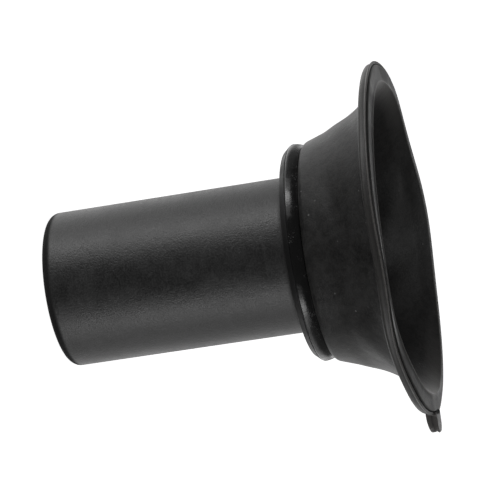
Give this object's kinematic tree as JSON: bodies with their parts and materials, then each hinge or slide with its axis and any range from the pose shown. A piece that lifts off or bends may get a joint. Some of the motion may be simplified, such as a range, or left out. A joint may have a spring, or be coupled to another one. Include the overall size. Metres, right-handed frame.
{
  "type": "carburettor vacuum slide with diaphragm",
  "caption": "Black closed-end slide of a constant-velocity carburettor, with a retaining ring and a funnel-shaped rubber diaphragm that lets the slide rise and fall.",
  "frame": {"origin": "centre of the slide's closed end face, on the axis of the slide", "axes": "+Z along the slide's axis from the closed end to the diaphragm's mouth, which is the way the slide lifts; the locating tab points along -X"},
  "size_m": [0.0644, 0.0614, 0.0613],
  "materials": {
    "slide_plastic": "satin black, fine grain",
    "ring_plastic": "glossy black with fine scuffs",
    "diaphragm_rubber": "matte black rubber"
  },
  "bodies": {
    "rim": {"diaphragm_rim": "diaphragm_rubber", "diaphragm_wall": "diaphragm_rubber"},
    "slide": {"slide": "slide_plastic", "retaining_ring": "ring_plastic", "diaphragm_neck": "diaphragm_rubber"}
  },
  "joints": [
    {"name": "slide_lift", "type": "slide", "parent": "rim", "child": "slide", "axis": [0, 0, 1], "range_m": [0, 0.022], "stiffness_N_per_m": 40, "deforming": ["diaphragm_wall"]}
  ]
}
